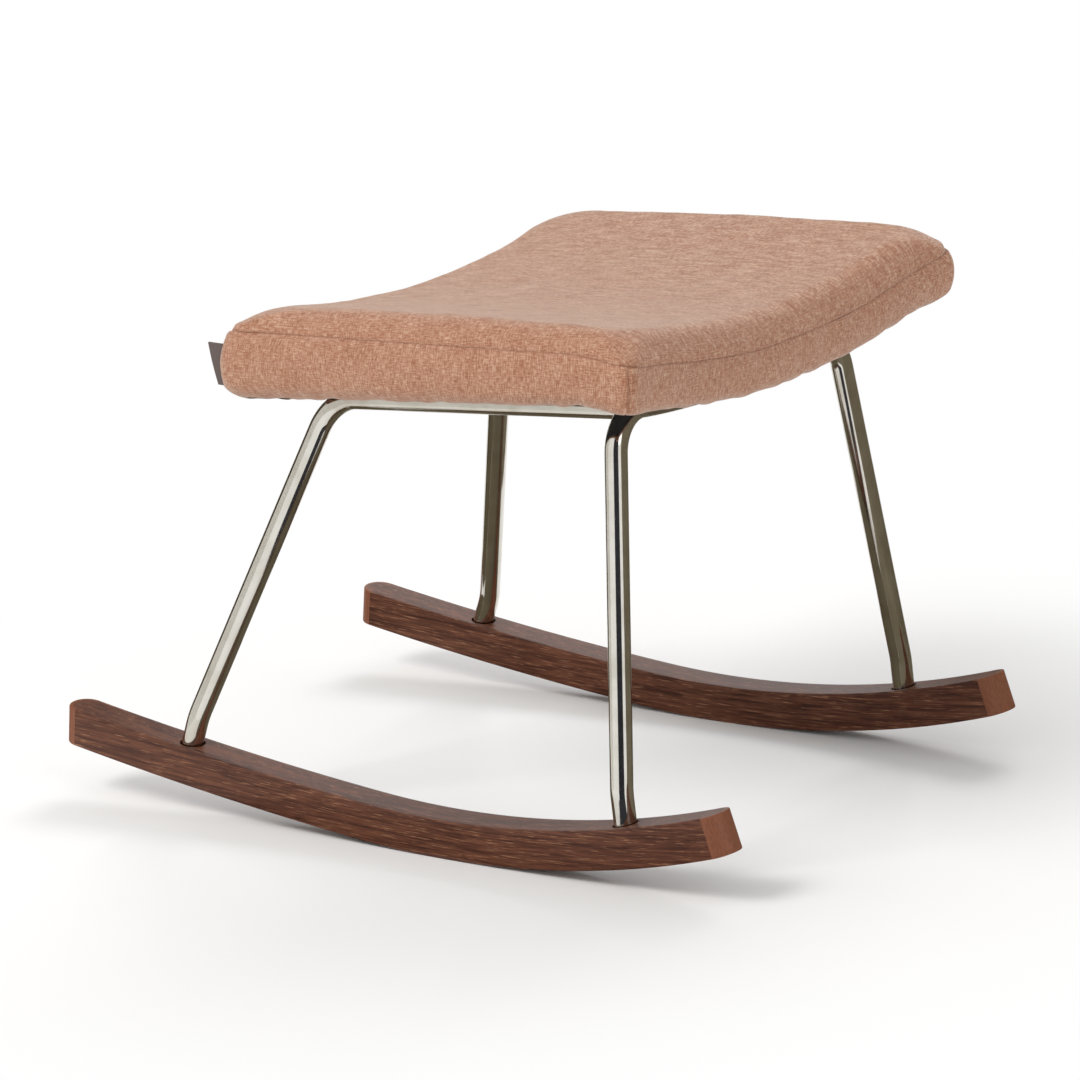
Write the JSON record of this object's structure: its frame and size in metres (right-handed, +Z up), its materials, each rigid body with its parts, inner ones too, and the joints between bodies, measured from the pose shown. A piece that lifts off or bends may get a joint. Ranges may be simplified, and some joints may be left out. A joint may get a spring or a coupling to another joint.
{
  "type": "rocking footstool",
  "caption": "Rocking footstool: a dished, wedge-shaped upholstered seat on a bent chrome tube frame that stands on two curved wooden rockers.",
  "frame": {"origin": "on the floor, under the middle of the bounding box of the stool at rest", "axes": "+X along the rockers towards the front, +Y to the stool's left, +Z up"},
  "size_m": [0.6932, 0.438, 0.4391],
  "materials": {
    "walnut_wood": "dark walnut stain, satin",
    "chromed_tube": "polished",
    "cover_cloth": "heathered chenille weave, dusty salmon pink",
    "black_cloth": "thin matt non-woven cloth",
    "tag_ribbon": "plain folded ribbon",
    "plywood": "bare moulded plywood",
    "pad_foam": "open-cell foam, taken as padding",
    "zinc_steel": "zinc plated"
  },
  "bodies": {
    "root": {"cover_front_band": "cover_cloth", "cover_left_band": "cover_cloth", "cover_rear_band": "cover_cloth", "cover_right_band": "cover_cloth", "cover_staples": "zinc_steel", "cover_top_panel": "cover_cloth", "dust_cover": "black_cloth", "front_leg_hoop": "chromed_tube", "leg_end_plugs": "zinc_steel", "rear_cross_rail": "chromed_tube", "rear_leg_left": "chromed_tube", "rear_leg_right": "chromed_tube", "rocker_bolts": "zinc_steel", "rocker_left": "walnut_wood", "rocker_right": "walnut_wood", "rocker_washers": "zinc_steel", "seat_board": "plywood", "seat_brackets": "chromed_tube", "seat_foam": "pad_foam", "seat_screws": "zinc_steel", "side_tag": "tag_ribbon", "tee_nuts": "zinc_steel"}
  },
  "joints": []
}
